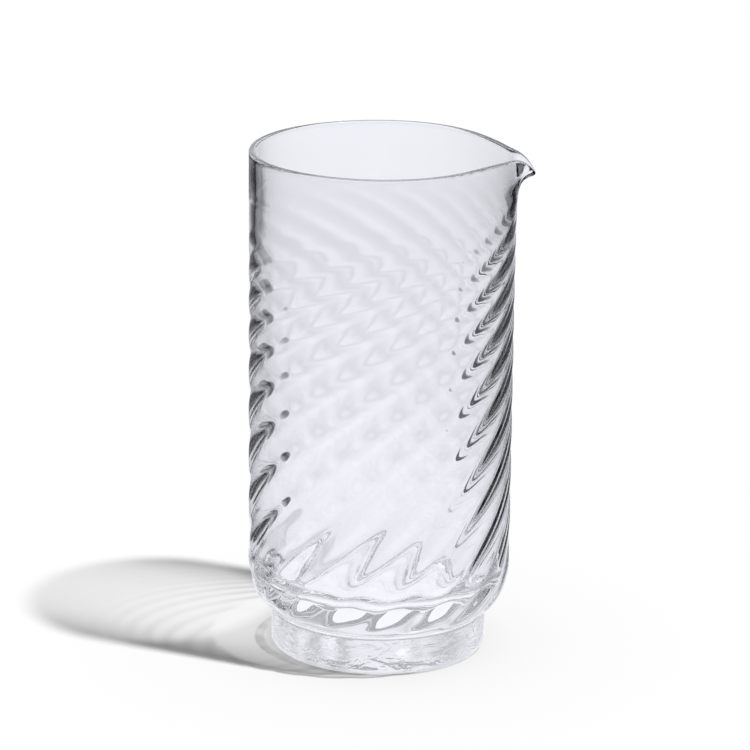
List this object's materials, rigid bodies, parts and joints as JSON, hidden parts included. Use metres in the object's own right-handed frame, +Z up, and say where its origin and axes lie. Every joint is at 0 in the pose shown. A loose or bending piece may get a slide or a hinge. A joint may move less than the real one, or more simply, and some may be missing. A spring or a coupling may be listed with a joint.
{
  "type": "mixing glass",
  "caption": "Tall straight-sided clear glass mixing beaker with spiral ribs, a pulled pouring spout and a thick round foot.",
  "frame": {"origin": "centre of the foot's flat underside, where the glass stands", "axes": "+Z up along the axis of the glass, +X from the axis towards the pouring spout"},
  "size_m": [0.0908, 0.085, 0.1645],
  "materials": {
    "bowl_glass": "clear, fire polished, smooth",
    "foot_glass": "clear, with a faint chill texture and seeds"
  },
  "bodies": {
    "root": {"bowl": "bowl_glass", "foot": "foot_glass"}
  },
  "joints": []
}
